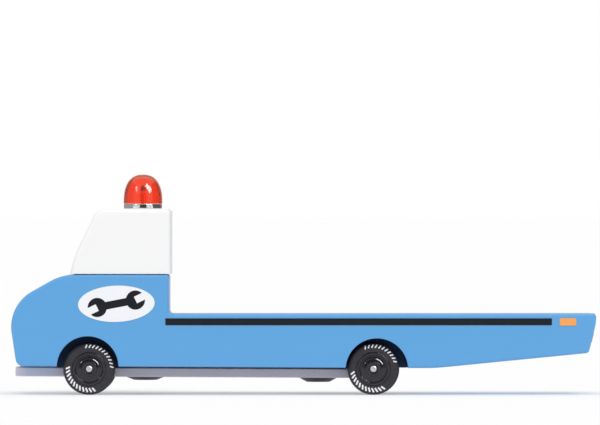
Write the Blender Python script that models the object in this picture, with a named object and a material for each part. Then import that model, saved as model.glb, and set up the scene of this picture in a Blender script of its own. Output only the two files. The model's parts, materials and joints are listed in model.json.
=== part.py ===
# A toy recovery truck: a painted wooden body and cab on a plastic chassis plate,
# with two wheelsets that roll and a clear red beacon on the roof.
# Lengths are metres. The truck faces -X, +Y is its right side, +Z is up and the floor is z = 0.

import math

import bmesh
import bpy
from mathutils import Matrix, Vector

SIDES = {"left": -1, "right": 1}
LOOSE = 0.00005                 # gap between two pieces that touch
ROUND_STEPS = 24                # sides of a round piece
BORE_STEPS = 16                 # sides of a thin one
ARC_ERROR = 0.00003             # how far a rounded corner's straight steps may leave its arc
CUT_REACH = 0.0020              # how far a cutter runs past the face that it opens
BLIND_GAP = 0.0004              # left at the bottom of a blind hole

# Body block. Its side outline is a ring of corners: x, z and the radius of the corner.
BODY_WIDTH = 0.0407
BODY_EDGE = 0.0010              # sanded edge
SEAT_Z = 0.0426                 # face that the cab stands on
BED_Z = 0.02867                 # load bed
RAISED_BACK_X = -0.0479         # back of the raised front, under the cab
TAIL_X = 0.1039
BODY_CORNERS = (
    (RAISED_BACK_X, SEAT_Z, 0),
    (-0.08614, SEAT_Z, 0.016),
    (-0.10522, 0.03188, 0.0145),
    (-0.10195, 0.01018, 0.0028),
    (0.02600, 0.00954, 0),
    (0.04680, 0.00955, 0.060),
    (0.10125, 0.01490, 0),
    (TAIL_X, 0.02565, 0.016),
    (TAIL_X, BED_Z, 0),
    (RAISED_BACK_X, BED_Z, 0.0011),
)

# Cab block, outlined the same way.
CAB_WIDTH = 0.0391
CAB_EDGE = 0.0015
CAB_FLOOR_Z = 0.04295
ROOF_Z = 0.06605
CAB_BACK_X = -0.0472            # the cab overhangs the raised front
CAB_CORNERS = (
    (CAB_BACK_X, CAB_FLOOR_Z, 0),
    (CAB_BACK_X, ROOF_Z, 0),
    (-0.07365, ROOF_Z, 0.0048),
    (-0.08195, 0.04885, 0.032),
    (-0.08320, CAB_FLOOR_Z, 0),
)
CAB_FOOT_INSET = 0.0018         # the foot leaves a shadow line round the cab
DOWEL_RADIUS = 0.0030
DOWEL_DEPTH = 0.0080            # in each block
DOWEL_CHAMFER = 0.0005
DOWEL_X = {"front": -0.0740, "rear": -0.0550}

# Wheelsets.
HUB_Z = 0.0092
AXLE_X = {"front": -0.07625, "rear": 0.02480}
AXLE_RADIUS = 0.00125
AXLE_HALF_LENGTH = 0.0176
AXLE_CHAMFER = 0.0002
TYRE_RADIUS = 0.0092
WHEEL_Y = 0.01505               # middle of the tyre

# Wheel arches, as x, z and radius of the cut, and how far in they reach.
ARCHES = {"front": (-0.0767, 0.0099, 0.01085), "rear": (0.0260, 0.0090, 0.0110)}
ARCH_WALL_Y = 0.0104
ARCH_STEPS = 48
CHANNEL_RADIUS = 0.0022         # round channel for the axle and its bushes

# Bushes that the axles turn in.
BUSH_RADIUS = 0.0021
BUSH_BORE = 0.00133
BUSH_LENGTH = 0.0046
BUSH_RECESS = 0.0001            # how far its end sits inside the arch wall

# Chassis plate, which slopes down a little towards the tail.
RAKE = 0.0050                   # radians
PLATE_FRONT_X = -0.1028
PLATE_BACK_X = 0.0315
PLATE_HALF_WIDTH = 0.0103
PLATE_Z = 0.00594               # underside where x = 0
PLATE_EDGE_THICKNESS = 0.00323
PLATE_FRONT_RADIUS = 0.0045     # corners in plan
PLATE_BACK_RADIUS = 0.0025
PLATE_PAD_HEIGHT = 0.00042      # raised land that meets the body
PLATE_PAD_INSET = 0.0014

# Screws through the plate and the black plugs that cover their heads.
PLUG_X = {"front": -0.05655, "rear": 0.00520}
PLUG_DROP = {"front": 0.0012, "rear": 0.0016}       # below the plate
PLUG_TOP_RADIUS = 0.0068
PLUG_CHAMFER = 0.0027
PLUG_EDGE = 0.0001
PLUG_STEM_RADIUS = 0.0028
PLUG_STEM_GAP = 0.0002          # between the stem and the screw head
RECESS_RADIUS = 0.0030
RECESS_DEPTH = 0.0021
SCREW_HEAD_RADIUS = 0.0026
SCREW_HEAD_HEIGHT = 0.0010
SCREW_HEAD_ROUNDING = 0.0004
SCREW_RADIUS = 0.0013
SCREW_LENGTH = 0.0100
SCREW_POINT = 0.0020
SCREW_CROSS = (0.0026, 0.0006, 0.0005)      # cross slot: length, width, depth

# Beacon. The lens is a superellipse turned about the beacon's own axis.
BEACON_X = -0.0574
BEACON_RADIUS = 0.00695
BEACON_BASE_HEIGHT = 0.00178
RING_SETBACK = 0.0001           # how far the ring stands inside the lens
RING_EDGE = 0.0002
LENS_HEIGHT = 0.0104
LENS_WALL = 0.0009
LENS_POWER = 2.5
LENS_STEPS = 7
STEM_RADIUS = 0.0025
STEM_LENGTH = 0.0060
POST_RADIUS = 0.0005
POST_HEIGHT = 0.0046
BULB_RADIUS = 0.0009
BULB_HEIGHT = 0.0019

# Thin printed labels on the outside of the body.
LABEL_THICKNESS = 0.0001
OVAL = {"x": -0.0665, "z": 0.0324, "length": 0.0272, "height": 0.0129, "tilt": math.radians(2)}
STRIPE = (-0.0491, 0.0881, 0.0248, 0.0272)          # low x, high x, low z, high z
MARKER = (0.0909, 0.0968, 0.02465, 0.0273)
MARKER_RADIUS = 0.0005
HEADLAMP = {"z": 0.0176, "y": 0.0125, "radius": 0.0032}
TAIL_LAMP = {"z": 0.0203, "y": 0.0142, "width": 0.0070, "height": 0.0034, "corner": 0.0006}

# Finishes: colour, roughness, metallic.
BLUE_PAINT = ((0.14, 0.39, 0.72), 0.35, 0)
WHITE_PAINT = ((0.85, 0.85, 0.85), 0.35, 0)
PALE_WOOD = ((0.62, 0.44, 0.26), 0.7, 0)
WHITE_PRINT = ((0.90, 0.91, 0.93), 0.45, 0)
BLACK_PRINT = ((0.02, 0.02, 0.025), 0.45, 0)
ORANGE_PRINT = ((0.93, 0.36, 0.08), 0.45, 0)
RED_PRINT = ((0.62, 0.03, 0.02), 0.45, 0)
GREY_PLASTIC = ((0.55, 0.52, 0.59), 0.5, 0)
BLACK_PLASTIC = ((0.02, 0.02, 0.022), 0.25, 0)
WHITE_PLASTIC = ((0.75, 0.75, 0.72), 0.5, 0)
RUBBER = ((0.03, 0.03, 0.033), 0.75, 0)
STEEL = ((0.62, 0.62, 0.64), 0.3, 1)
CHROME = ((0.80, 0.80, 0.82), 0.08, 1)
RED_LENS = ((0.90, 0.06, 0.03), 0.08, 0)


def clear_scene():
    for obj in list(bpy.data.objects):
        bpy.data.objects.remove(obj, do_unlink=True)


def add_object(name, bm, finish=None):
    bmesh.ops.recalc_face_normals(bm, faces=bm.faces)
    mesh = bpy.data.meshes.new(name)
    bm.to_mesh(mesh)
    bm.free()
    mesh.shade_smooth()
    mesh.set_sharp_from_angle(angle=math.radians(35))
    return place_copy(name, mesh, finish)


def place_copy(name, mesh, finish=None, location=(0, 0, 0), turn_z=0):
    obj = bpy.data.objects.new(name, mesh)
    obj.location = location
    obj.rotation_euler.z = turn_z
    bpy.context.scene.collection.objects.link(obj)
    if finish:
        paint(obj, finish)
    return obj


def paint(obj, finish):
    colour, roughness, metallic = finish
    material = bpy.data.materials.new(obj.name)
    material.use_nodes = True
    shader = material.node_tree.nodes["Principled BSDF"]
    shader.inputs["Base Color"].default_value = (*colour, 1)
    shader.inputs["Roughness"].default_value = roughness
    shader.inputs["Metallic"].default_value = metallic
    if not obj.material_slots:
        obj.data.materials.append(None)
    obj.material_slots[0].link = "OBJECT"
    obj.material_slots[0].material = material


def rounded_outline(corners):
    points = []
    for i, (across, up, radius) in enumerate(corners):
        corner = Vector((across, up))
        if not radius:
            points.append(corner)
            continue
        back = (Vector(corners[i - 1][:2]) - corner).normalized()
        ahead = (Vector(corners[(i + 1) % len(corners)][:2]) - corner).normalized()
        half = back.angle(ahead) / 2
        centre = corner + (back + ahead).normalized() * radius / math.sin(half)
        start = corner + back * radius / math.tan(half) - centre
        turn = math.copysign(math.pi - 2 * half, ahead.cross(back))
        steps = max(2, math.ceil(abs(turn) / (2 * math.acos(1 - ARC_ERROR / radius))))
        for step in range(steps + 1):
            points.append(centre + Matrix.Rotation(turn * step / steps, 2) @ start)
    return points


def oval_outline(length, height, steps=36):
    turns = (2 * math.pi * i / steps for i in range(steps))
    return [Vector((length / 2 * math.cos(t), height / 2 * math.sin(t))) for t in turns]


def box_outline(low_x, high_x, low_y, high_y):
    return [Vector(p) for p in ((low_x, low_y), (high_x, low_y), (high_x, high_y), (low_x, high_y))]


def slab(outline, low, high, along="Y"):
    # The outline lies across `along`, and is extruded along it from low to high.
    bm = bmesh.new()
    if along == "Y":
        ring = [bm.verts.new((p.x, low, p.y)) for p in outline]
        push = Vector((0, high - low, 0))
    else:
        ring = [bm.verts.new((p.x, p.y, low)) for p in outline]
        push = Vector((0, 0, high - low))
    face = bm.faces.new(ring)
    raised = bmesh.ops.extrude_face_region(bm, geom=[face])["geom"]
    bmesh.ops.translate(bm, vec=push, verts=[v for v in raised if isinstance(v, bmesh.types.BMVert)])
    bmesh.ops.recalc_face_normals(bm, faces=bm.faces)
    return bm


def turned(profile, axis="Z", steps=ROUND_STEPS, ring=False):
    # The profile is a line of (radius, distance along the axis). A ring's profile closes on
    # itself, and any other starts and ends on the axis.
    bm = bmesh.new()
    along = Vector((0, 0, 1)) if axis == "Z" else Vector((0, 1, 0))
    line = [bm.verts.new(Vector((radius, 0, 0)) + along * place) for radius, place in profile]
    edges = [bm.edges.new(pair) for pair in zip(line, line[1:])]
    if ring:
        edges.append(bm.edges.new((line[-1], line[0])))
    bmesh.ops.spin(bm, geom=line + edges, cent=(0, 0, 0), axis=along, angle=2 * math.pi,
                   steps=steps, use_merge=True)
    bmesh.ops.remove_doubles(bm, verts=bm.verts, dist=0.000001)
    return bm


def round_bar(name, radius, low, high, axis="Z", steps=ROUND_STEPS, chamfer=0, finish=None):
    profile = [(0, low), (radius - chamfer, low), (radius, low + chamfer),
               (radius, high - chamfer), (radius - chamfer, high), (0, high)]
    if not chamfer:
        profile = [(0, low), (radius, low), (radius, high), (0, high)]
    return add_object(name, turned(profile, axis, steps), finish)


def cut(target, cutter):
    cutter.hide_render = True
    cutter.display_type = "WIRE"
    boolean = target.modifiers.new(cutter.name, "BOOLEAN")
    boolean.operation = "DIFFERENCE"
    boolean.solver = "EXACT"
    boolean.object = cutter


def round_edges(obj, width, segments=3):
    bevel = obj.modifiers.new("rounded edges", "BEVEL")
    bevel.width = width
    bevel.segments = segments
    bevel.limit_method = "ANGLE"
    bevel.angle_limit = math.radians(30)


def channel_cutters():
    # One long round cutter on each axle, for the body and the plate alike.
    reach = ARCH_WALL_Y + CUT_REACH
    cutters = []
    for end, x in AXLE_X.items():
        cutter = round_bar(f"cut_channel_{end}", CHANNEL_RADIUS, -reach, reach, "Y")
        cutter.location = (x, 0, HUB_Z)
        cutters.append(cutter)
    return cutters


def make_body(channels):
    outline = rounded_outline(BODY_CORNERS)
    body = add_object("body", slab(outline, -BODY_WIDTH / 2, BODY_WIDTH / 2), BLUE_PAINT)
    round_edges(body, BODY_EDGE)
    for end, (x, z, radius) in ARCHES.items():
        for side, sign in SIDES.items():
            low, high = sorted((sign * ARCH_WALL_Y, sign * BODY_WIDTH))
            arch = round_bar(f"cut_arch_{end}_{side}", radius, low, high, "Y", ARCH_STEPS)
            arch.location = (x, 0, z)
            cut(body, arch)
    for channel in channels:
        cut(body, channel)
    for end, x in DOWEL_X.items():
        hole = round_bar(f"cut_body_dowel_{end}", DOWEL_RADIUS + LOOSE,
                         SEAT_Z - DOWEL_DEPTH, SEAT_Z + CUT_REACH)
        hole.location.x = x
        cut(body, hole)
    for end, x in PLUG_X.items():
        pilot = round_bar(f"cut_pilot_{end}", SCREW_RADIUS + LOOSE, PLATE_Z,
                          PLATE_Z + RECESS_DEPTH + SCREW_LENGTH + 2 * BLIND_GAP, steps=BORE_STEPS)
        pilot.location.x = x
        cut(body, pilot)


def make_cab():
    bm = slab(rounded_outline(CAB_CORNERS), -CAB_WIDTH / 2, CAB_WIDTH / 2)
    cab = add_object("cab", bm, WHITE_PAINT)
    round_edges(cab, CAB_EDGE)
    # A shallow rebate all round the floor leaves the foot that stands on the body.
    low_x, high_x = CAB_CORNERS[-1][0], CAB_CORNERS[0][0]
    foot = box_outline(low_x + CAB_FOOT_INSET, high_x - CAB_FOOT_INSET,
                       CAB_FOOT_INSET - CAB_WIDTH / 2, CAB_WIDTH / 2 - CAB_FOOT_INSET)
    pad = add_object("cab_foot_shape", slab(foot, SEAT_Z + LOOSE, CAB_FLOOR_Z + CUT_REACH, "Z"))
    pad.hide_render = True
    pad.display_type = "WIRE"
    join = cab.modifiers.new("foot", "BOOLEAN")
    join.operation = "UNION"
    join.solver = "EXACT"
    join.object = pad
    for end, x in DOWEL_X.items():
        hole = round_bar(f"cut_cab_dowel_{end}", DOWEL_RADIUS + LOOSE,
                         SEAT_Z - CUT_REACH, CAB_FLOOR_Z + DOWEL_DEPTH)
        hole.location.x = x
        cut(cab, hole)
    socket = round_bar("cut_beacon_socket", STEM_RADIUS + LOOSE, ROOF_Z - STEM_LENGTH - BLIND_GAP,
                       ROOF_Z + CUT_REACH)
    socket.location.x = BEACON_X
    cut(cab, socket)


def make_dowels():
    for end, x in DOWEL_X.items():
        dowel = round_bar(f"cab_dowel_{end}", DOWEL_RADIUS, SEAT_Z - DOWEL_DEPTH + BLIND_GAP,
                          CAB_FLOOR_Z + DOWEL_DEPTH - BLIND_GAP, chamfer=DOWEL_CHAMFER,
                          finish=PALE_WOOD)
        dowel.location.x = x


def make_side_prints():
    for side, sign in SIDES.items():
        inner = BODY_WIDTH / 2 + LOOSE
        low, high = sorted((sign * inner, sign * (inner + LABEL_THICKNESS)))
        oval = oval_outline(OVAL["length"], OVAL["height"])
        label = add_object(f"door_label_{side}", slab(oval, low, high), WHITE_PRINT)
        label.location = (OVAL["x"], 0, OVAL["z"])
        label.rotation_euler.y = sign * OVAL["tilt"]
        add_object(f"side_stripe_{side}", slab(box_outline(*STRIPE), low, high), BLACK_PRINT)
        corners = [(x, z, MARKER_RADIUS) for x, z in box_outline(*MARKER)]
        add_object(f"side_marker_{side}", slab(rounded_outline(corners), low, high), ORANGE_PRINT)


def stick_on(name, outline, corner_above, corner_below, y, z, finish):
    # A flat print on the sloping nose or tail face that runs between two corners of the body.
    top = Vector((corner_above[0], 0, corner_above[1]))
    bottom = Vector((corner_below[0], 0, corner_below[1]))
    up = (top - bottom).normalized()
    out = Vector((0, -1, 0)).cross(up)
    if out.x * top.x < 0:
        out.negate()
    spot = bottom + up * (z - bottom.z) / up.z + out * LOOSE
    obj = add_object(name, slab(outline, 0, LABEL_THICKNESS, "Z"), finish)
    frame = Matrix((out.cross(up), up, out)).transposed().to_4x4()
    obj.matrix_world = Matrix.Translation(spot + Vector((0, y, 0))) @ frame


def make_lamps():
    lamp = oval_outline(2 * HEADLAMP["radius"], 2 * HEADLAMP["radius"], ROUND_STEPS)
    half_width = TAIL_LAMP["width"] / 2
    half_height = TAIL_LAMP["height"] / 2
    bar = rounded_outline([(x, y, TAIL_LAMP["corner"]) for x, y in
                           box_outline(-half_width, half_width, -half_height, half_height)])
    for side, sign in SIDES.items():
        stick_on(f"headlamp_{side}", lamp, BODY_CORNERS[2], BODY_CORNERS[3],
                 sign * HEADLAMP["y"], HEADLAMP["z"], WHITE_PRINT)
        stick_on(f"tail_lamp_{side}", bar, BODY_CORNERS[7], BODY_CORNERS[6],
                 sign * TAIL_LAMP["y"], TAIL_LAMP["z"], RED_PRINT)


def make_plate(channels):
    corners = [(PLATE_FRONT_X, -PLATE_HALF_WIDTH, PLATE_FRONT_RADIUS),
               (PLATE_BACK_X, -PLATE_HALF_WIDTH, PLATE_BACK_RADIUS),
               (PLATE_BACK_X, PLATE_HALF_WIDTH, PLATE_BACK_RADIUS),
               (PLATE_FRONT_X, PLATE_HALF_WIDTH, PLATE_FRONT_RADIUS)]
    bm = slab(rounded_outline(corners), 0, PLATE_EDGE_THICKNESS, "Z")
    top = max(bm.faces, key=lambda face: face.calc_center_median().z)
    bmesh.ops.inset_region(bm, faces=[top], thickness=PLATE_PAD_INSET)
    land = bmesh.ops.extrude_face_region(bm, geom=[top])["geom"]
    bmesh.ops.delete(bm, geom=[top], context="FACES_ONLY")
    land_verts = [v for v in land if isinstance(v, bmesh.types.BMVert)]
    bmesh.ops.translate(bm, vec=(0, 0, PLATE_PAD_HEIGHT), verts=land_verts)
    plate = add_object("chassis_plate", bm, GREY_PLASTIC)
    plate.location.z = PLATE_Z
    plate.rotation_euler.y = RAKE
    for channel in channels:
        cut(plate, channel)
    for end, x in PLUG_X.items():
        under = PLATE_Z - RAKE * x
        recess = round_bar(f"cut_recess_{end}", RECESS_RADIUS, under - CUT_REACH,
                           under + RECESS_DEPTH)
        recess.location.x = x
        cut(plate, recess)
        hole = round_bar(f"cut_plate_hole_{end}", SCREW_RADIUS + 3 * LOOSE, under,
                         under + PLATE_EDGE_THICKNESS + CUT_REACH, steps=BORE_STEPS)
        hole.location.x = x
        cut(plate, hole)


def make_screws_and_plugs():
    for end, x in PLUG_X.items():
        under = PLATE_Z - RAKE * x
        seat = under + RECESS_DEPTH - LOOSE
        face = seat - SCREW_HEAD_HEIGHT
        point = seat + SCREW_LENGTH
        profile = [(0, face), (SCREW_HEAD_RADIUS - SCREW_HEAD_ROUNDING, face),
                   (SCREW_HEAD_RADIUS, face + SCREW_HEAD_ROUNDING), (SCREW_HEAD_RADIUS, seat),
                   (SCREW_RADIUS, seat), (SCREW_RADIUS, point - SCREW_POINT), (0, point)]
        screw = add_object(f"chassis_screw_{end}", turned(profile, steps=BORE_STEPS), STEEL)
        screw.location.x = x
        length, width, depth = SCREW_CROSS
        for name, size_x, size_y in (("a", length, width), ("b", width, length)):
            blade = box_outline(-size_x / 2, size_x / 2, -size_y / 2, size_y / 2)
            slot = add_object(f"cut_slot_{name}_{end}", slab(blade, face - depth, face + depth, "Z"))
            slot.location.x = x
            cut(screw, slot)
        brim = under - LOOSE - RAKE * PLUG_TOP_RADIUS
        low = under - PLUG_DROP[end]
        top = face - PLUG_STEM_GAP
        plug = add_object(f"chassis_plug_{end}", turned([
            (0, low), (PLUG_TOP_RADIUS - PLUG_CHAMFER, low), (PLUG_TOP_RADIUS, brim - PLUG_EDGE),
            (PLUG_TOP_RADIUS, brim), (PLUG_STEM_RADIUS, brim), (PLUG_STEM_RADIUS, top),
            (0, top)]), BLACK_PLASTIC)
        plug.location.x = x


def tyre_profile():
    # Radius and distance from the tyre's middle, from the bead round the sidewalls and tread.
    half = [(0.00555, 0.0022), (0.00605, 0.00235), (0.00605, 0.00290), (0.00680, 0.00315),
            (0.00790, 0.00325), (0.00865, 0.00300), (0.00908, 0.00240), (TYRE_RADIUS, 0.0012)]
    return half + [(radius, -place) for radius, place in reversed(half)]


def rim_profile():
    # The outer face looks to -Y. Lips hold the tyre, and a shallow stepped dish runs round the boss.
    bore = AXLE_RADIUS + LOOSE
    outer = [(0.0055, -0.0023), (0.0060, -0.0024), (0.0060, -0.0028), (0.00575, -0.0030),
             (0.00495, -0.0030), (0.00472, -0.0021), (0.00385, -0.0021), (0.00355, -0.00225),
             (0.00275, -0.0023), (0.00265, -0.0026), (0.00170, -0.0026), (bore, -0.0022)]
    inner = [(bore, 0.00445), (0.0020, 0.00445), (0.0020, 0.0004), (0.0049, 0.0004),
             (0.0051, 0.0029), (0.0060, 0.0029), (0.0060, 0.0024), (0.0055, 0.0023)]
    return outer + inner


def make_wheelsets():
    tyre_bm = turned(tyre_profile(), "Y", ring=True)
    rim_bm = turned(rim_profile(), "Y", ring=True)
    bush_bm = turned([(BUSH_BORE, 0), (BUSH_RADIUS, 0), (BUSH_RADIUS, BUSH_LENGTH),
                      (BUSH_BORE, BUSH_LENGTH)], "Y", BORE_STEPS, ring=True)
    shapes = {}
    for name, bm in (("tyre", tyre_bm), ("rim", rim_bm), ("bush", bush_bm)):
        pattern = add_object(f"{name}_pattern", bm)
        shapes[name] = pattern.data
        bpy.data.objects.remove(pattern)
    for end, x in AXLE_X.items():
        centre = bpy.data.objects.new(f"{end}_wheelset", None)
        centre.location = (x, 0, HUB_Z)
        bpy.context.scene.collection.objects.link(centre)
        axle = round_bar(f"{end}_axle", AXLE_RADIUS, -AXLE_HALF_LENGTH, AXLE_HALF_LENGTH, "Y",
                         BORE_STEPS, AXLE_CHAMFER, STEEL)
        axle.parent = centre
        for side, sign in SIDES.items():
            turn = 0 if sign < 0 else math.pi
            place = (0, sign * WHEEL_Y, 0)
            tyre = place_copy(f"tyre_{end}_{side}", shapes["tyre"], RUBBER, place, turn)
            rim = place_copy(f"rim_{end}_{side}", shapes["rim"], BLACK_PLASTIC, place, turn)
            tyre.parent = centre
            rim.parent = centre
            bush_y = sign * (ARCH_WALL_Y - BUSH_RECESS)
            place_copy(f"axle_bush_{end}_{side}", shapes["bush"], WHITE_PLASTIC,
                       (x, bush_y, HUB_Z), turn)


def dome(radius, height):
    # From the rim of a superellipse up to its top, which lies on the axis.
    points = []
    for step in range(LENS_STEPS + 1):
        angle = math.pi / 2 * step / LENS_STEPS
        out = max(math.cos(angle), 0) ** (2 / LENS_POWER)
        up = math.sin(angle) ** (2 / LENS_POWER)
        points.append((radius * out if step < LENS_STEPS else 0, height * up))
    return points


def make_beacon():
    seat = ROOF_Z + LOOSE
    top = seat + BEACON_BASE_HEIGHT
    radius = BEACON_RADIUS - RING_SETBACK
    base = add_object("beacon_base", turned([
        (0, seat - STEM_LENGTH), (STEM_RADIUS - RING_EDGE, seat - STEM_LENGTH),
        (STEM_RADIUS, seat - STEM_LENGTH + RING_EDGE), (STEM_RADIUS, seat),
        (radius - RING_EDGE, seat), (radius, seat + RING_EDGE), (radius, top - RING_EDGE),
        (radius - RING_EDGE, top), (POST_RADIUS, top), (POST_RADIUS, top + POST_HEIGHT),
        (0, top + POST_HEIGHT)]), CHROME)
    outside = dome(BEACON_RADIUS, LENS_HEIGHT)
    inside = dome(BEACON_RADIUS - LENS_WALL, LENS_HEIGHT - LENS_WALL)
    lens = add_object("beacon_lens", turned(list(reversed(outside)) + inside), RED_LENS)
    lens.location.z = top + LOOSE
    foot = top + POST_HEIGHT + LOOSE
    shoulder = foot + BULB_HEIGHT - BULB_RADIUS
    turns = [math.pi / 2 * i / 4 for i in range(5)]
    cap = [(BULB_RADIUS * math.cos(t), shoulder + BULB_RADIUS * math.sin(t)) for t in turns[:-1]]
    bulb = add_object("beacon_bulb", turned([(0, foot), (BULB_RADIUS, foot), *cap,
                                             (0, foot + BULB_HEIGHT)], steps=BORE_STEPS), RED_LENS)
    for obj in (base, lens, bulb):
        obj.location.x = BEACON_X


def main():
    clear_scene()
    channels = channel_cutters()
    make_body(channels)
    make_cab()
    make_dowels()
    make_side_prints()
    make_lamps()
    make_plate(channels)
    make_screws_and_plugs()
    make_wheelsets()
    make_beacon()


main()
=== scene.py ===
import json
import math

import bmesh
import bpy
from mathutils import Matrix, Vector

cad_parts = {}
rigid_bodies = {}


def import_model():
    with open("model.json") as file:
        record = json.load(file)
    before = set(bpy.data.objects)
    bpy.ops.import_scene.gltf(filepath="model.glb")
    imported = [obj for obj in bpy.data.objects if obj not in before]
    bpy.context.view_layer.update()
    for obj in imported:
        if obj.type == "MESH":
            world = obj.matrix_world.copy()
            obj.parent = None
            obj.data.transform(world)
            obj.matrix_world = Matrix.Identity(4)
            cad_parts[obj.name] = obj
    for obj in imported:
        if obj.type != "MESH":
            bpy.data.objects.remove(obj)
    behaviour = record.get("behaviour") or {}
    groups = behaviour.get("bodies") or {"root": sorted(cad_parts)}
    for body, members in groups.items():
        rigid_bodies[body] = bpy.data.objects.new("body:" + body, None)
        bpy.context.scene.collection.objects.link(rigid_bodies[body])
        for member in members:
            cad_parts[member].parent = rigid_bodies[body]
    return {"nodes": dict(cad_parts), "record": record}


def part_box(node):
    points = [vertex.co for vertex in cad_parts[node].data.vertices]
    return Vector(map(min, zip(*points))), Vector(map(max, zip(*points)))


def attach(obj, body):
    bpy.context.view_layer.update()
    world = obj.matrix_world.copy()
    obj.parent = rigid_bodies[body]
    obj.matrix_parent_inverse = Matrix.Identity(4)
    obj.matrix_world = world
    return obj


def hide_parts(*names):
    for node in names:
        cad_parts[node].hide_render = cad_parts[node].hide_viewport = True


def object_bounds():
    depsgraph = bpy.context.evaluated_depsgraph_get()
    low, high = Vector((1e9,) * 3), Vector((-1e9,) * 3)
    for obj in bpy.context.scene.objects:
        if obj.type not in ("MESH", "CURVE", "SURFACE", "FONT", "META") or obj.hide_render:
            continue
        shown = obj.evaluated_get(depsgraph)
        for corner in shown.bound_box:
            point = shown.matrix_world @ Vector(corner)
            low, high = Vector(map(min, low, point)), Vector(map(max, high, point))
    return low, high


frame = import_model()
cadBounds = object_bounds()
sides = {"left": -1, "right": 1}
ends = ("front", "rear")
roundSteps = 96                  # sides of a turned piece
arcStep = math.radians(4)
mergeDistance = 0.000002
sharpAngle = math.radians(32)
seamAngle = 0.5                  # edges that turn more than this get rounded
nudge = 0.0001                   # keeps one face clear of the next


def traceLine(bm, corners, closed=True):
    # Points through the corners (x, z, radius), each corner with a radius swept as an arc.
    line = []
    for i, (x, z, radius) in enumerate(corners):
        corner = Vector((x, 0, z))
        if not radius:
            line.append(bm.verts.new(corner))
            continue
        before = Vector((corners[i - 1][0], 0, corners[i - 1][1]))
        after = Vector((corners[(i + 1) % len(corners)][0], 0, corners[(i + 1) % len(corners)][1]))
        back = (before - corner).normalized()
        ahead = (after - corner).normalized()
        half = back.angle(ahead) / 2
        centre = corner + (back + ahead).normalized() * radius / math.sin(half)
        reach = radius / math.tan(half)
        start = bm.verts.new(corner + back * reach)
        turn = math.pi - 2 * half
        steps = max(3, math.ceil(turn / arcStep))
        axis = (corner + back * reach - centre).cross(corner + ahead * reach - centre)
        line += sweepPoint(bm, start, centre, axis, turn, steps)
    for a, b in zip(line, line[1:] + line[:1] if closed else line[1:]):
        if not bm.edges.get((a, b)):
            bm.edges.new((a, b))
    return line


def sweepPoint(bm, point, centre, axis, turn, steps):
    bmesh.ops.spin(bm, geom=[point], cent=centre, axis=axis, angle=turn, steps=steps)
    bm.verts.ensure_lookup_table()
    return [point] + bm.verts[-steps:]


def vertsOf(geometry):
    return [g for g in geometry if isinstance(g, bmesh.types.BMVert)]


def facesOf(geometry):
    return [g for g in geometry if isinstance(g, bmesh.types.BMFace)]


def pushFaces(bm, faces, step, keep=False):
    # Extrudes the faces by the step, and gives the faces at the far end.
    made = bmesh.ops.extrude_face_region(bm, geom=faces)["geom"]
    bmesh.ops.translate(bm, vec=step, verts=vertsOf(made))
    if not keep:
        bmesh.ops.delete(bm, geom=faces, context="FACES_ONLY")
    return facesOf(made)


def slab(corners, low, high):
    # A plate whose outline lies across Y.
    bm = bmesh.new()
    face = bm.faces.new(traceLine(bm, corners))
    bmesh.ops.translate(bm, vec=(0, low, 0), verts=bm.verts)
    pushFaces(bm, [face], (0, high - low, 0), keep=True)
    return bm


def turnedShape(corners, ring=False, steps=roundSteps):
    # Corners are (radius, height, rounding), turned about Z.
    bm = bmesh.new()
    traceLine(bm, corners, closed=ring)
    bmesh.ops.spin(bm, geom=bm.verts[:] + bm.edges[:], cent=(0, 0, 0), axis=(0, 0, 1),
                   angle=2 * math.pi, steps=steps, use_merge=True)
    return bm


def ovalShape(length, height, low, high, steps=96):
    bm = bmesh.new()
    bmesh.ops.create_circle(bm, cap_ends=True, segments=steps, radius=0.5)
    bmesh.ops.rotate(bm, cent=(0, 0, 0), matrix=Matrix.Rotation(math.pi / 2, 3, "X"), verts=bm.verts)
    bmesh.ops.scale(bm, vec=(length, 1, height), verts=bm.verts)
    bmesh.ops.translate(bm, vec=(0, low, 0), verts=bm.verts)
    pushFaces(bm, bm.faces[:], (0, high - low, 0), keep=True)
    return bm


def placed(bm, *moves):
    for move in moves:
        bmesh.ops.transform(bm, matrix=move, verts=bm.verts)
    return bm


def makePiece(name, bm, body, material, replaced=()):
    bmesh.ops.remove_doubles(bm, verts=bm.verts, dist=mergeDistance)
    bmesh.ops.recalc_face_normals(bm, faces=bm.faces)
    mesh = bpy.data.meshes.new(name)
    bm.to_mesh(mesh)
    bm.free()
    mesh.shade_smooth()
    mesh.set_sharp_from_angle(angle=sharpAngle)
    piece = bpy.data.objects.new(name, mesh)
    bpy.context.scene.collection.objects.link(piece)
    mesh.materials.append(material)
    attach(piece, body)
    if replaced:
        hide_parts(*replaced)
    return piece


def roundEdges(piece, width, segments):
    # How much each edge takes is in its bevel weight.
    bevel = piece.modifiers.new("rounded edges", "BEVEL")
    bevel.width = width
    bevel.segments = segments
    bevel.limit_method = "WEIGHT"
    bevel.use_clamp_overlap = False
    bevel.harden_normals = True


def boxMiddle(node):
    low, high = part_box(node)
    return (low + high) / 2


def addNode(material, kind, values=None, **settings):
    node = material.node_tree.nodes.new(kind)
    for key, value in settings.items():
        setattr(node, key, value)
    for key, value in (values or {}).items():
        node.inputs[key].default_value = value
    return node


def join(material, source, sourceSocket, target, targetSocket):
    material.node_tree.links.new(source.outputs[sourceSocket], target.inputs[targetSocket])


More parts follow.
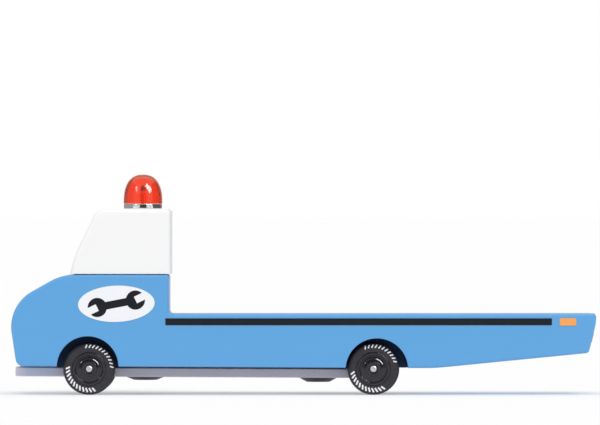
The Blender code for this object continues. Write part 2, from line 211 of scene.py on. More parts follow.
def makeSurface(name, look):
    # Every finish: two close tones in soft patches, a roughness that wanders, and a fine relief.
    material = bpy.data.materials.new(name)
    material.use_nodes = True
    shader = material.node_tree.nodes["Principled BSDF"]
    for socket, value in look.get("shader", {}).items():
        shader.inputs[socket].default_value = value
    coords = addNode(material, "ShaderNodeTexCoord")
    mapping = addNode(material, "ShaderNodeMapping", {"Scale": look.get("stretch", (1, 1, 1))})
    join(material, coords, "Object", mapping, "Vector")

    patches = addNode(material, "ShaderNodeTexNoise", {"Scale": look["patchScale"], "Detail": 5})
    tones = addNode(material, "ShaderNodeMix", data_type="RGBA")
    tones.inputs["A"].default_value = (*look["colour"], 1)
    tones.inputs["B"].default_value = (*look["shade"], 1)
    join(material, mapping, "Vector", patches, "Vector")
    join(material, patches, "Fac", tones, "Factor")
    join(material, tones, "Result", shader, "Base Color")

    smudges = addNode(material, "ShaderNodeTexNoise", {"Scale": look["smudgeScale"], "Detail": 6})
    low, high = look["roughness"]
    wander = addNode(material, "ShaderNodeMapRange", {"From Min": 0.3, "From Max": 0.7,
                                                      "To Min": low, "To Max": high})
    join(material, mapping, "Vector", smudges, "Vector")
    join(material, smudges, "Fac", wander, "Value")
    join(material, wander, "Result", shader, "Roughness")

    relief = addNode(material, "ShaderNodeTexNoise", {"Scale": look["reliefScale"], "Detail": 4})
    bump = addNode(material, "ShaderNodeBump", {"Strength": look["reliefStrength"],
                                                "Distance": look["reliefDepth"]})
    join(material, mapping, "Vector", relief, "Vector")
    join(material, relief, "Fac", bump, "Height")
    join(material, bump, "Normal", shader, "Normal")
    return material


def showNode(node, material):
    # A CAD node that stays gets the finish on its own slot.
    frame["nodes"][node].data.materials.clear()
    frame["nodes"][node].data.materials.append(material)


bodyLook = {
    "edge": 0.0010,
    "archEdge": 0.0004,
    "nose": (-0.00133, 0.03188, 0.0145),          # corner from the nose tip, height, radius
    "chin": (0.00194, 0.01018, 0.0028),
    "hoodStart": (0.01775, 0.016),               # from the nose tip, radius
    "keel": (0.0468, 0.00955, 0.060),
    "kink": (0.0260, 0.00954),
    "tailFoot": (0.00265, 0.0149),
    "tailBend": (0.02565, 0.016),
    "overhang": 0.0007,                          # of the cab, at its back
    "step": 0.0011,
    "archSteps": 60,
    "archOffset": {"front": (-0.00045, 0.0007, 0.01085), "rear": (0.0012, -0.0002, 0.0110)},
    # Much darker blue for the inside of the wheel arches: painted shade standing in for the deep shadow in
    # the arch pockets.
    "archPaintedShade": {
        "colour": (0.016, 0.045, 0.115), "shade": (0.022, 0.060, 0.145),
        "patchScale": 160, "smudgeScale": 300, "roughness": (0.55, 0.7),
        "reliefScale": 900, "reliefStrength": 0.3, "reliefDepth": 0.0003,
        "shader": {"Specular IOR Level": 0.2},
    },
    "paint": {
        "colour": (0.101, 0.362, 0.712), "shade": (0.105, 0.370, 0.723),
        "patchScale": 22, "smudgeScale": 160, "roughness": (0.30, 0.40),
        "reliefScale": 420, "reliefStrength": 0.18, "reliefDepth": 0.0003, "stretch": (0.35, 1, 1),
        "shader": {"IOR": 1.5, "Coat Weight": 0.15, "Coat Roughness": 0.2},
    },
}


def underside(x):
    # The keel line, which drops a little to the rear arch and then runs back up.
    low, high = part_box("body")
    chinX = low.x + bodyLook["chin"][0]
    chinZ = bodyLook["chin"][1]
    kinkX, kinkZ = bodyLook["kink"]
    keelX, keelZ, _ = bodyLook["keel"]
    if x < kinkX:
        return chinZ + (kinkZ - chinZ) * (x - chinX) / (kinkX - chinX)
    return kinkZ + (keelZ - kinkZ) * (x - kinkX) / (keelX - kinkX)


def archCircle(end):
    hub = boxMiddle(f"{end}_axle")
    aside, up, radius = bodyLook["archOffset"][end]
    return hub.x + aside, hub.z + up, radius


def archFeet(end):
    x, z, radius = archCircle(end)
    feet = []
    for sign in (-1, 1):
        floor = underside(x + sign * radius)
        feet.append((x + sign * math.sqrt(radius ** 2 - (floor - z) ** 2), floor))
    return feet


def onArch(point):
    circles = (archCircle(end) for end in ends)
    return any(abs(math.hypot(point.x - x, point.z - z) - radius) < nudge for x, z, radius in circles)


def makeBody():
    look = bodyLook
    low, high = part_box("body")
    bedZ = frame["record"]["mounts"][0]["pos_m"][2]
    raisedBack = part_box("cab")[1].x - look["overhang"]
    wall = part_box("chassis_plate")[1].y + nudge
    noseOut, noseZ, noseRadius = look["nose"]
    chinIn, chinZ, chinRadius = look["chin"]
    front = [(raisedBack, high.z, 0), (low.x + look["hoodStart"][0], high.z, look["hoodStart"][1]),
             (low.x + noseOut, noseZ, noseRadius), (low.x + chinIn, chinZ, chinRadius)]
    back = [look["keel"], (high.x - look["tailFoot"][0], look["tailFoot"][1], 0),
            (high.x, *look["tailBend"]), (high.x, bedZ, 0), (raisedBack, bedZ, look["step"])]
    feet = [(x, z, 0) for end in ends for x, z in archFeet(end)]
    bm = bmesh.new()
    side = traceLine(bm, front + feet + back)
    pockets = []
    for end in ends:
        x, z, radius = archCircle(end)
        (leftX, leftZ), (rightX, rightZ) = archFeet(end)
        left = min(side, key=lambda v: (v.co - Vector((leftX, 0, leftZ))).length)
        at = side.index(left)
        turn = math.atan2(leftZ - z, leftX - x) % (2 * math.pi) - math.atan2(rightZ - z, rightX - x)
        arch = sweepPoint(bm, left, Vector((x, 0, z)), (0, 1, 0), turn, look["archSteps"])
        bm.verts.remove(arch.pop())
        side[at + 1:at + 1] = arch[1:]
        pockets.append(bm.faces.new(arch + [side[at + len(arch)]]))
    flank = bm.faces.new(side)
    # The middle runs between the arch walls, and only the flanks go on out past the arches.
    bmesh.ops.translate(bm, vec=(0, -wall, 0), verts=bm.verts)
    farFaces = pushFaces(bm, [flank] + pockets, (0, 2 * wall, 0), keep=True)
    outward = (high.y - low.y) / 2 - wall
    pushFaces(bm, [flank], (0, -outward, 0))
    pushFaces(bm, [max(farFaces, key=lambda face: face.calc_area())], (0, outward, 0))
    bmesh.ops.recalc_face_normals(bm, faces=bm.faces)
    weigh = bm.edges.layers.float.new("bevel_weight_edge")
    for edge in bm.edges:
        a, b = (v.co for v in edge.verts)
        if edge.calc_face_angle(0) < seamAngle or max(abs(a.y), abs(b.y)) < wall + nudge:
            continue
        edge[weigh] = look["archEdge"] / look["edge"] if onArch(a) and onArch(b) else 1
    # Faces inside the arch pockets take the second slot, the darker blue of painted shade.
    for face in bm.faces:
        insideArch = all(onArch(v.co) for v in face.verts)
        face.material_index = 1 if insideArch and face is not flank else 0
    piece = makePiece("bodyBlock", bm, "truck", makeSurface("bluePaint", look["paint"]),
                      ["body"])
    # The second slot holds the painted shade of the arch insides.
    piece.data.materials.append(makeSurface("archPaintedShade", look["archPaintedShade"]))
    roundEdges(piece, look["edge"], 4)


cabLook = {
    "edge": 0.0015,
    "floorEdge": 0.0002,
    "footHeight": 0.0003,
    "footInset": 0.0022,
    "roofCorner": (0.00955, 0.0048),       # from the lowest x, radius
    "bend": (0.00125, 0.04885, 0.032),
    "paint": {
        "colour": (0.897, 0.897, 0.892), "shade": (0.887, 0.887, 0.887),
        "patchScale": 25, "smudgeScale": 160, "roughness": (0.32, 0.42),
        "reliefScale": 420, "reliefStrength": 0.18, "reliefDepth": 0.0003, "stretch": (1, 1, 0.35),
        "shader": {"IOR": 1.5, "Coat Weight": 0.15, "Coat Roughness": 0.2},
    },
}


def makeCab():
    look = cabLook
    low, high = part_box("cab")
    floor = low.z + look["footHeight"]
    roofIn, roofRadius = look["roofCorner"]
    bendIn, bendZ, bendRadius = look["bend"]
    bm = slab([(high.x, floor, 0), (high.x, high.z, 0), (low.x + roofIn, high.z, roofRadius),
               (low.x + bendIn, bendZ, bendRadius), (low.x, floor, 0)], low.y, high.y)
    bmesh.ops.recalc_face_normals(bm, faces=bm.faces)
    weigh = bm.edges.layers.float.new("bevel_weight_edge")
    for edge in bm.edges:
        if edge.calc_face_angle(0) < seamAngle:
            continue
        atFloor = all(v.co.z < floor + nudge for v in edge.verts)
        edge[weigh] = look["floorEdge"] / look["edge"] if atFloor else 1
    base = [min(bm.faces, key=lambda f: f.calc_center_median().z)]
    bmesh.ops.inset_region(bm, faces=base, thickness=look["footInset"])
    pushFaces(bm, base, (0, 0, low.z - floor))
    piece = makePiece("cabBlock", bm, "truck", makeSurface("whitePaint", look["paint"]),
                      ["cab"])
    roundEdges(piece, look["edge"], 5)


labelLook = {
    "tilt": math.radians(2),
    "thick": 0.00008,
    "white": {
        "colour": (0.88, 0.89, 0.92), "shade": (0.84, 0.85, 0.89),
        "patchScale": 900, "smudgeScale": 300, "roughness": (0.38, 0.5),
        "reliefScale": 1500, "reliefStrength": 0.15, "reliefDepth": 0.0001,
    },
    "black": {
        "colour": (0.007, 0.009, 0.014), "shade": (0.010, 0.012, 0.018),
        "patchScale": 500, "smudgeScale": 260, "roughness": (0.35, 0.5),
        "reliefScale": 1500, "reliefStrength": 0.15, "reliefDepth": 0.0001,
        "shader": {"Specular IOR Level": 0.25},
    },
    "orange": {
        "colour": (0.90, 0.34, 0.075), "shade": (0.93, 0.39, 0.10),
        "patchScale": 500, "smudgeScale": 260, "roughness": (0.35, 0.5),
        "reliefScale": 1500, "reliefStrength": 0.15, "reliefDepth": 0.0001,
    },
    "red": {
        "colour": (0.55, 0.02, 0.015), "shade": (0.62, 0.035, 0.02),
        "patchScale": 500, "smudgeScale": 260, "roughness": (0.35, 0.5),
        "reliefScale": 1500, "reliefStrength": 0.15, "reliefDepth": 0.0001,
    },
}
spannerLook = {
    "between": 0.0138,       # from head to head
    "headRadius": 0.0034,
    "shaftWidth": 0.0027,
    "jawWidth": 0.0026,
    "jawDepth": 0.0034,
    "jawTurn": math.radians(15),
    "tilt": math.radians(11),
}


def makeSpannerShape(thick):
    # A double-ended spanner, drawn round one head and then the other.
    look = spannerLook
    bm = bmesh.new()
    outline = []
    for end in (0, 1):
        turn = Matrix.Rotation(-math.pi * end, 4, "Y")
        middle = turn @ Vector((look["between"] / 2, 0, 0))
        neck = math.asin(look["shaftWidth"] / 2 / look["headRadius"])
        jaw = math.asin(look["jawWidth"] / 2 / look["headRadius"])
        for a, b in ((math.pi - neck, look["jawTurn"] + jaw), (look["jawTurn"] - jaw, neck - math.pi)):
            start = Matrix.Rotation(-a, 4, "Y") @ Vector((look["headRadius"], 0, 0))
            point = bm.verts.new(middle + turn @ start)
            outline += sweepPoint(bm, point, middle, (0, 1, 0), a - b, 24)
            if b > 0:
                for side in (1, -1):
                    seat = Vector((look["headRadius"] - look["jawDepth"], 0, side * look["jawWidth"] / 2))
                    seat = Matrix.Rotation(-look["jawTurn"], 4, "Y") @ seat
                    outline.append(bm.verts.new(middle + turn @ seat))
    face = bm.faces.new(outline)
    pushFaces(bm, [face], (0, thick, 0), keep=True)
    return bm


def makeLabels():
    look = labelLook
    inks = {name: makeSurface(f"{name}Print", look[name]) for name in ("white", "black", "orange", "red")}
    for side, sign in sides.items():
        low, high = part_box(f"door_label_{side}")
        middle = (low + high) / 2
        inner = low.y if sign > 0 else high.y
        tilt = Matrix.Rotation(sign * look["tilt"], 4, "Y")
        oval = ovalShape(high.x - low.x, high.z - low.z, 0, sign * look["thick"])
        placed(oval, tilt, Matrix.Translation((middle.x, inner, middle.z)))
        makePiece(f"doorLabel_{side}", oval, "truck", inks["white"], [f"door_label_{side}"])
        spanner = makeSpannerShape(sign * look["thick"] / 2)
        lean = Matrix.Rotation(sign * spannerLook["tilt"], 4, "Y")
        placed(spanner, lean, Matrix.Translation((middle.x, inner + sign * look["thick"], middle.z)))
        makePiece(f"doorEmblem_{side}", spanner, "truck", inks["black"])
        showNode(f"side_stripe_{side}", inks["black"])
        showNode(f"side_marker_{side}", inks["orange"])
        showNode(f"headlamp_{side}", inks["white"])
        showNode(f"tail_lamp_{side}", inks["red"])


chassisLook = {
    "edge": 0.0004,
    "rake": 0.0050,
    "thick": 0.00323,
    "padHeight": 0.00042,
    "padInset": 0.0018,
    "plugSlope": 0.0027,
    "plugRounding": 0.0004,
    "frontCorner": 0.0045,
    "backCorner": 0.0025,
    "plastic": {
        "colour": (0.60, 0.585, 0.685), "shade": (0.575, 0.56, 0.66),
        "patchScale": 60, "smudgeScale": 500, "roughness": (0.34, 0.45),
        "reliefScale": 2600, "reliefStrength": 0.3, "reliefDepth": 0.0001,
    },
    "plugPlastic": {
        "colour": (0.012, 0.012, 0.015), "shade": (0.018, 0.018, 0.021),
        "patchScale": 90, "smudgeScale": 400, "roughness": (0.28, 0.4),
        "reliefScale": 2200, "reliefStrength": 0.25, "reliefDepth": 0.0001,
    },
}


def plateUnderside(x):
    low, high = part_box("chassis_plate")
    return low.z + chassisLook["rake"] * (high.x - x)


def makeChassis():
    look = chassisLook
    low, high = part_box("chassis_plate")
    corners = [(low.x, low.y, look["frontCorner"]), (high.x, low.y, look["backCorner"]),
               (high.x, high.y, look["backCorner"]), (low.x, high.y, look["frontCorner"])]
    bm = slab(corners, 0, look["thick"])
    placed(bm, Matrix.Rotation(math.pi / 2, 4, "X"))
    bmesh.ops.recalc_face_normals(bm, faces=bm.faces)
    weigh = bm.edges.layers.float.new("bevel_weight_edge")
    for edge in bm.edges:
        if edge.calc_face_angle(0) > seamAngle:
            edge[weigh] = 1
    top = [max(bm.faces, key=lambda face: face.calc_center_median().z)]
    bmesh.ops.inset_region(bm, faces=top, thickness=look["padInset"])
    pushFaces(bm, top, (0, 0, look["padHeight"]))
    placed(bm, Matrix.Rotation(look["rake"], 4, "Y"), Matrix.Translation((0, 0, plateUnderside(0))))
    surface = makeSurface("greyPlastic", look["plastic"])
    piece = makePiece("chassisPlate", bm, "truck", surface,
                      ["chassis_plate"])
    roundEdges(piece, look["edge"], 3)

    plugFinish = makeSurface("plugPlastic", look["plugPlastic"])
    for end in ends:
        low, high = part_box(f"chassis_plug_{end}")
        middle = (low.x + high.x) / 2
        radius = (high.x - low.x) / 2
        brim = plateUnderside(middle + radius)
        plug = turnedShape([(0, low.z, 0), (radius - look["plugSlope"], low.z, look["plugRounding"]),
                            (radius, brim - nudge, nudge), (radius, brim, 0), (0, brim, 0)])
        placed(plug, Matrix.Translation((middle, 0, 0)))
        makePiece(f"chassisPlug_{end}", plug, "truck", plugFinish, [f"chassis_plug_{end}"])


wheelLook = {
    # Outlines are (radius, distance out from the middle, rounding).
    # The rim runs from the tyre seat over the flange into the stepped dish, over the boss, and back inside.
    "rim": [
        (0.0055, 0.0023, 0), (0.0060, 0.0024, 0), (0.0060, 0.0030, 0.00022), (0.00498, 0.0030, 0.00015),
        (0.00474, 0.0021, 0.00012), (0.00387, 0.0021, 0.00003), (0.00352, 0.00227, 0.00003),
        (0.00276, 0.0023, 0.00005), (0.00270, 0.0026, 0.00012), (0.00168, 0.0026, 0.0001),
        (0.00160, 0.0020, 0), (0.0013, 0.0020, 0), (0.0013, -0.00445, 0), (0.0020, -0.00445, 0.0002),
        (0.0020, -0.0004, 0.0002), (0.0049, -0.0004, 0.0003), (0.0051, -0.0029, 0.0001),
        (0.0060, -0.0029, 0.0002), (0.0060, -0.0024, 0), (0.0055, -0.0023, 0),
    ],
    "bead": [
        (0.00555, 0.0022, 0), (0.00605, 0.00235, 0), (0.00605, 0.0029, 0.00008),
        (0.00640, 0.00305, 0.0003), (0.00665, 0.0032, 0.0002),
    ],
    "shoulder": (0.0002, 0.0017),        # inside the tread, and how far out the tread begins
    "grooves": (0.0014, 0.0005),
    "grooveDepth": 0.0002,
    "grooveHalf": (0.00018, 0.0001),     # at the tread, at the bottom
    "grooveRounding": (0.00004, 0.00003),
    "axleRounding": 0.00055,
    # from, to (degrees), middle radius, bar length, bar width, number of bars, lean (degrees)
    "marks": ((5, 97, 0.00812, 0.00130, 0.00045, 11, -28), (177, 283, 0.00752, 0.00165, 0.00058, 12, 28)),
    "tyreFace": 0.0032,
    "flatRadius": 0.0079,        # outside it the sidewall curves back
    "bulge": 560,
    "wallSteps": 10,
    "markThick": 0.0001,
    "markCuts": 5,
    "markShortest": 0.001,       # edges longer than this run along a bar
    "markSink": 0.00007,
    "rolled": {"front": 0, "rear": math.radians(14)},
    "rubber": {
        "colour": (0.023, 0.0215, 0.029), "shade": (0.032, 0.030, 0.039),
        "patchScale": 260, "smudgeScale": 700, "roughness": (0.55, 0.72),
        "reliefScale": 3200, "reliefStrength": 0.35, "reliefDepth": 0.0001,
    },
    "markPaint": {
        "colour": (0.92, 0.92, 0.94), "shade": (0.82, 0.82, 0.85),
        "patchScale": 1200, "smudgeScale": 700, "roughness": (0.45, 0.6),
        "reliefScale": 3200, "reliefStrength": 0.2, "reliefDepth": 0.0001,
    },
    "rimPlastic": {
        "colour": (0.010, 0.009, 0.014), "shade": (0.015, 0.014, 0.020),
        "patchScale": 260, "smudgeScale": 900, "roughness": (0.05, 0.10),
        "reliefScale": 900, "reliefStrength": 0.02, "reliefDepth": 0.0001,
        "shader": {"IOR": 1.5},
    },
    "steel": {
        "colour": (0.74, 0.74, 0.76), "shade": (0.56, 0.56, 0.59),
        "patchScale": 1500, "smudgeScale": 1800, "roughness": (0.32, 0.5),
        "reliefScale": 3000, "reliefStrength": 0.3, "reliefDepth": 0.0001,
        "shader": {"Metallic": 1.0},
    },
    "bush": {
        "colour": (0.70, 0.70, 0.67), "shade": (0.64, 0.64, 0.60),
        "patchScale": 300, "smudgeScale": 500, "roughness": (0.4, 0.55),
        "reliefScale": 1600, "reliefStrength": 0.2, "reliefDepth": 0.0001,
    },
}


def wallHeight(radius):
    look = wheelLook
    return look["tyreFace"] - look["bulge"] * max(0, radius - look["flatRadius"]) ** 2


def tyreCorners(radius):
    # From the bead over the outer sidewall, and back the same way on the inner side.
    look = wheelLook
    inset, treadStart = look["shoulder"]
    across = radius - inset - look["flatRadius"]
    outer = list(look["bead"])
    for step in range(look["wallSteps"] + 1):
        place = look["flatRadius"] + across * step / look["wallSteps"]
        outer.append((place, wallHeight(place), 0))
    outer.append((radius, treadStart, 0))
    bottom = radius - look["grooveDepth"]
    wide, narrow = look["grooveHalf"]
    lip, root = look["grooveRounding"]
    for place in look["grooves"]:
        outer += [(radius, place + wide, lip), (bottom, place + narrow, root),
                  (bottom, place - narrow, root), (radius, place - wide, lip)]
    return outer + [(r, -place, fillet) for r, place, fillet in reversed(outer)]


def makeMarks(rolled):
    # Plain slanted bars round the flat of the sidewall.
    look = wheelLook
    bm = bmesh.new()
    height = look["tyreFace"] + look["markThick"] / 2 - look["markSink"]
    for start, stop, radius, length, width, count, lean in look["marks"]:
        bar = Matrix.Rotation(math.radians(lean), 4, "Z")
        bar = bar @ Matrix.Diagonal((length, width, look["markThick"], 1))
        for i in range(count):
            turn = rolled + math.radians(start + (stop - start) * i / (count - 1))
            place = Matrix.Rotation(turn, 4, "Z") @ Matrix.Translation((radius, 0, height))
            bmesh.ops.create_cube(bm, size=1, matrix=place @ bar)
    along = [edge for edge in bm.edges if edge.calc_length() > look["markShortest"]]
    bmesh.ops.subdivide_edges(bm, edges=along, cuts=look["markCuts"], use_grid_fill=True)
    for vert in bm.verts:
        vert.co.z += wallHeight(math.hypot(vert.co.x, vert.co.y)) - look["tyreFace"]
    return bm


def makeWheels():
    look = wheelLook
    finish = {name: makeSurface(name, look[name]) for name in
              ("rubber", "markPaint", "rimPlastic", "steel", "bush")}
    for end in ends:
        axle = boxMiddle(f"{end}_axle")
        body = f"{end}_wheelset"
        radius, reach = (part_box(f"{end}_axle")[1] - axle).zy
        rod = turnedShape([(0, -reach, 0), (radius, -reach, look["axleRounding"]),
                           (radius, reach, look["axleRounding"]), (0, reach, 0)], steps=64)
        placed(rod, Matrix.Rotation(math.pi / 2, 4, "X"), Matrix.Translation(axle))
        makePiece(f"axle_{end}", rod, body, finish["steel"], [f"{end}_axle"])
        for side, sign in sides.items():
            low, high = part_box(f"tyre_{end}_{side}")
            middle = (low + high) / 2
            facing = Matrix.Rotation(math.pi / 2, 4, "X")
            if sign > 0:
                facing = Matrix.Rotation(math.pi, 4, "Z") @ facing
            moves = (facing, Matrix.Translation(middle))
            name = f"{end}_{side}"
            tyre = placed(turnedShape(tyreCorners((high.z - low.z) / 2), ring=True), *moves)
            makePiece(f"tyre_{name}_fine", tyre, body, finish["rubber"], [f"tyre_{name}"])
            marks = placed(makeMarks(look["rolled"][end]), *moves)
            makePiece(f"tyreMarks_{name}", marks, body, finish["markPaint"])
            rim = placed(turnedShape(look["rim"], ring=True), *moves)
            makePiece(f"rim_{name}_fine", rim, body, finish["rimPlastic"], [f"rim_{name}"])
            showNode(f"axle_bush_{name}", finish["bush"])
        showNode(f"chassis_screw_{end}", finish["steel"])


beaconLook = {
    "power": 2.5,
    "wall": 0.0009,
    "post": 0.0005,
    "ringEdges": (0.00015, 0.00025),     # rounding below, above
    "bulbEdge": 0.999,                   # of its own radius
    "postPlastic": {
        "colour": (0.85, 0.80, 0.78), "shade": (0.80, 0.75, 0.73),
        "patchScale": 300, "smudgeScale": 500, "roughness": (0.5, 0.6),
        "reliefScale": 900, "reliefStrength": 0.1, "reliefDepth": 0.0001,
    },
    "curveSteps": 40,
    "chrome": {
        "colour": (0.86, 0.86, 0.88), "shade": (0.82, 0.82, 0.84),
        "patchScale": 300, "smudgeScale": 600, "roughness": (0.04, 0.1),
        "reliefScale": 700, "reliefStrength": 0.05, "reliefDepth": 0.0001,
        "shader": {"Metallic": 1.0},
    },
    "lens": {
        "colour": (0.98, 0.235, 0.125), "shade": (0.97, 0.20, 0.11),
        "patchScale": 120, "smudgeScale": 400, "roughness": (0.09, 0.14),
        "reliefScale": 260, "reliefStrength": 0.12, "reliefDepth": 0.0003,
        "shader": {"Transmission Weight": 1.0, "IOR": 1.49},
    },
    "bulb": {
        "colour": (0.30, 0.004, 0.01), "shade": (0.24, 0.003, 0.01),
        "patchScale": 300, "smudgeScale": 500, "roughness": (0.1, 0.2),
        "reliefScale": 900, "reliefStrength": 0.1, "reliefDepth": 0.0001,
    },
    "wood": {
        "colour": (0.60, 0.42, 0.25), "shade": (0.50, 0.33, 0.18),
        "patchScale": 300, "smudgeScale": 300, "roughness": (0.6, 0.8),
        "reliefScale": 900, "reliefStrength": 0.4, "reliefDepth": 0.0002, "stretch": (1, 1, 0.1),
    },
}


def domeLine(radius, height):
    # A quarter of a superellipse, from the foot to the top.
    look = beaconLook
    points = []
    for step in range(look["curveSteps"]):
        turn = math.pi / 2 * step / look["curveSteps"]
        points.append((radius * math.cos(turn) ** (2 / look["power"]),
                       height * math.sin(turn) ** (2 / look["power"]), 0))
    return points + [(0, height, 0)]


def makeBeacon():
    look = beaconLook
    low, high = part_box("beacon_lens")
    middle = (low + high) / 2
    home = Matrix.Translation((middle.x, middle.y, 0))
    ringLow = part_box("cab")[1].z
    ringRadius = (high.x - low.x) / 2 - nudge
    below, above = look["ringEdges"]
    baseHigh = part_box("beacon_base")[1].z
    ring = turnedShape([(0, ringLow + nudge, 0), (ringRadius, ringLow + nudge, below),
                        (ringRadius, low.z - nudge, above), (0, low.z - nudge, 0)])
    makePiece("beaconRing", placed(ring, home), "truck", makeSurface("chrome", look["chrome"]),
              ["beacon_base"])
    post = turnedShape([(0, low.z - 2 * nudge, 0), (look["post"], low.z - 2 * nudge, 0),
                        (look["post"], baseHigh, nudge), (0, baseHigh, 0)], steps=32)
    makePiece("beaconPost", placed(post, home), "truck",
              makeSurface("postPlastic", look["postPlastic"]))
    radius = (high.x - low.x) / 2
    height = high.z - low.z
    outside = domeLine(radius, height)
    inside = domeLine(radius - look["wall"], height - look["wall"])
    lens = turnedShape(list(reversed(outside)) + inside)
    placed(lens, home @ Matrix.Translation((0, 0, low.z)))
    makePiece("beaconLens", lens, "truck", makeSurface("redLens", look["lens"]), ["beacon_lens"])
    bulbLow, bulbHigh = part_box("beacon_bulb")
    bulbRadius = (bulbHigh.x - bulbLow.x) / 2
    bulb = turnedShape([(0, bulbLow.z, 0), (bulbRadius, bulbLow.z, nudge),
                        (bulbRadius, bulbHigh.z, bulbRadius * look["bulbEdge"]), (0, bulbHigh.z, 0)],
                       steps=48)
    makePiece("beaconBulb", placed(bulb, home), "truck", makeSurface("bulbRed", look["bulb"]),
              ["beacon_bulb"])
    beech = makeSurface("beech", look["wood"])
    for end in ends:
        showNode(f"cab_dowel_{end}", beech)


studioLook = {
    "cameraDistance": 3.0,
    "fieldWidth": 0.213,
    "aim": (-0.0013, 0.0648),
    "floorSize": 200,
    "floor": {
        "colour": (0.638, 0.638, 0.638), "shade": (0.632, 0.632, 0.632),
        "patchScale": 3, "smudgeScale": 20, "roughness": (0.6, 0.8),
        "reliefScale": 80, "reliefStrength": 0.02, "reliefDepth": 0.001,
        "shader": {"Emission Color": (1, 1, 1, 1), "Emission Strength": 0.31, "Specular IOR Level": 0.0},
    },
    # softboxes that only reflections see: direction, distance, width, height, turn (degrees), power
    "lights": {
        "key": ((0.527, -0.616, 0.586), 1.6, 1.00, 0.52, -56, 30.0),
        "side": ((-0.640, -0.588, 0.500), 1.6, 0.26, 0.44, 20, 3.2),
    },
    "sun": ((0.05, -0.52, 0.80), math.radians(34), 1.3),      # direction, softness, strength
    "horizon": 0.68,         # world brightness, level and overhead
    "overhead": 0.75,
    "rise": (0.4, 0.8),      # between these heights it changes from one to the other
    # cards that only reflections see: middle, width, height, turn (degrees), colour
    "cards": {
        "cameraCard": ((0.0, -1.9, 0.30), 1.4, 0.80, 0, (0.06, 0.06, 0.06)),
        "leftCard": ((-1.2, 0.26, 0.55), 1.8, 1.2, 90, (0.40, 0.40, 0.40)),
        "rightCard": ((1.2, 0.26, 0.55), 1.8, 1.2, 90, (0.12, 0.12, 0.12)),
        "backLeftCard": ((-1.45, 2.0, 0.85), 1.0, 1.8, 0, (0.20, 0.04, 0.07)),
        "backRightCard": ((1.45, 2.0, 0.85), 1.0, 1.8, 0, (0.20, 0.04, 0.07)),
        "backTopCard": ((0.0, 2.0, 1.45), 1.9, 0.8, 0, (0.20, 0.04, 0.07)),
    },
    "apron": ((0.0, -1.75, 0.012), 3.0, 2.5, (0.25, 0.25, 0.25)),     # lies over the floor ahead
    "card": {
        "patchScale": 3, "smudgeScale": 20, "roughness": (0.8, 0.9),
        "reliefScale": 80, "reliefStrength": 0.02, "reliefDepth": 0.001,
        "shader": {"Specular IOR Level": 0.1},
    },
}


def makeStagePlane(name, width, height, moves, material):
    bm = bmesh.new()
    bmesh.ops.create_grid(bm, x_segments=1, y_segments=1, size=0.5)
    placed(bm, Matrix.Diagonal((width, height, 1, 1)), *moves)
    mesh = bpy.data.meshes.new(name)
    bm.to_mesh(mesh)
    bm.free()
    mesh.materials.append(material)
    plane = bpy.data.objects.new(name, mesh)
    bpy.context.scene.collection.objects.link(plane)
    return plane


def hideCard(card):
    # Only mirror-like reflections see it.
    card.visible_camera = False
    card.visible_diffuse = False
    card.visible_shadow = False


def makeStage():
    look = studioLook
    apronMiddle, apronWidth, apronDepth, apronColour = look["apron"]
    apronTone = {"colour": apronColour, "shade": apronColour, **look["card"]}
    apron = makeStagePlane("floorCard", apronWidth, apronDepth, [Matrix.Translation(apronMiddle)],
                           makeSurface("floorCard", apronTone))
    hideCard(apron)
    apron.visible_transmission = False
    makeStagePlane("studioFloor", look["floorSize"], look["floorSize"], [],
                   makeSurface("floorWhite", look["floor"]))
    for name, (middle, width, height, turn, colour) in look["cards"].items():
        moves = (Matrix.Rotation(math.pi / 2, 4, "X"), Matrix.Rotation(math.radians(turn), 4, "Z"),
                 Matrix.Translation(middle))
        tone = {"colour": colour, "shade": colour, **look["card"]}
        card = makeStagePlane(name, width, height, moves, makeSurface(name, tone))
        hideCard(card)


def makeLights():
    centre = (Vector(cadBounds[0]) + Vector(cadBounds[1])) / 2
    # The softboxes glint on the shiny pieces only, so the flat paint keeps its colour from every side.
    shiny = bpy.data.collections.new("shinyPieces")
    for piece in bpy.context.scene.objects:
        if piece.name.startswith(("rim_", "axle_", "beacon", "chassisPlate")):
            shiny.objects.link(piece)
    for name, (direction, distance, width, height, turn, power) in studioLook["lights"].items():
        lamp = bpy.data.lights.new(name, "AREA")
        lamp.shape = "RECTANGLE"
        lamp.size = width
        lamp.size_y = height
        lamp.energy = power
        light = bpy.data.objects.new(name, lamp)
        towards = Vector(direction).normalized()
        light.location = centre + towards * distance
        roll = Matrix.Rotation(math.radians(turn), 3, "Z")
        light.rotation_euler = (towards.to_track_quat("Z", "Y").to_matrix() @ roll).to_euler()
        light.visible_camera = False
        light.visible_diffuse = False
        light.light_linking.receiver_collection = shiny
        bpy.context.scene.collection.objects.link(light)
    direction, softness, strength = studioLook["sun"]
    lamp = bpy.data.lights.new("topLight", "SUN")
    lamp.angle = softness
    lamp.energy = strength
    light = bpy.data.objects.new("topLight", lamp)
    light.rotation_euler = Vector(direction).to_track_quat("Z", "Y").to_euler()
    light.visible_glossy = False
    light.visible_transmission = False
    bpy.context.scene.collection.objects.link(light)


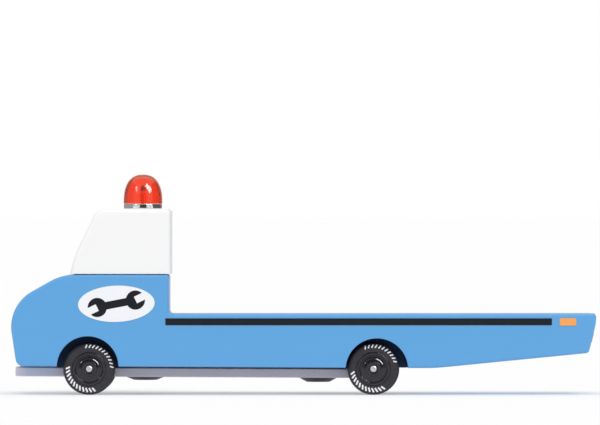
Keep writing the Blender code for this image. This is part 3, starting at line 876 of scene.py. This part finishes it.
def makeWorld():
    # White all round, and a little brighter overhead.
    look = studioLook
    world = bpy.data.worlds.new("studio")
    world.use_nodes = True
    bpy.context.scene.world = world
    tree = world.node_tree
    coords = tree.nodes.new("ShaderNodeTexCoord")
    split = tree.nodes.new("ShaderNodeSeparateXYZ")
    rise = tree.nodes.new("ShaderNodeMapRange")
    rise.interpolation_type = "SMOOTHSTEP"
    fromHeight, toHeight = look["rise"]
    for socket, value in (("From Min", fromHeight), ("From Max", toHeight), ("To Min", look["horizon"]),
                          ("To Max", look["overhead"])):
        rise.inputs[socket].default_value = value
    tree.links.new(coords.outputs["Generated"], split.inputs["Vector"])
    tree.links.new(split.outputs["Z"], rise.inputs["Value"])
    # The camera sees plain white, and so does whatever shows through the lens.
    path = tree.nodes.new("ShaderNodeLightPath")
    straight = tree.nodes.new("ShaderNodeMath")
    straight.operation = "MAXIMUM"
    tree.links.new(path.outputs["Is Camera Ray"], straight.inputs[0])
    tree.links.new(path.outputs["Is Transmission Ray"], straight.inputs[1])
    shown = tree.nodes.new("ShaderNodeMix")
    shown.inputs["B"].default_value = 1
    tree.links.new(straight.outputs["Value"], shown.inputs["Factor"])
    tree.links.new(rise.outputs["Result"], shown.inputs["A"])
    tree.links.new(shown.outputs["Result"], tree.nodes["Background"].inputs["Color"])


def makeCamera():
    look = studioLook
    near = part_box("body")[0].y
    data = bpy.data.cameras.new("camera")
    data.sensor_width = 36
    data.lens = data.sensor_width * look["cameraDistance"] / look["fieldWidth"]
    data.clip_end = 100
    camera = bpy.data.objects.new("camera", data)
    camera.location = (look["aim"][0], near - look["cameraDistance"], look["aim"][1])
    camera.rotation_euler = (math.pi / 2, 0, 0)
    bpy.context.scene.collection.objects.link(camera)
    bpy.context.scene.camera = camera


makeBody()
print("body made")
makeCab()
print("cab made")
makeLabels()
print("labels made")
makeChassis()
print("chassis made")
makeWheels()
print("wheels made")
makeBeacon()
print("beacon made")
makeStage()
makeLights()
makeWorld()
makeCamera()
bpy.context.scene.view_settings.view_transform = "Standard"
print("studio made")
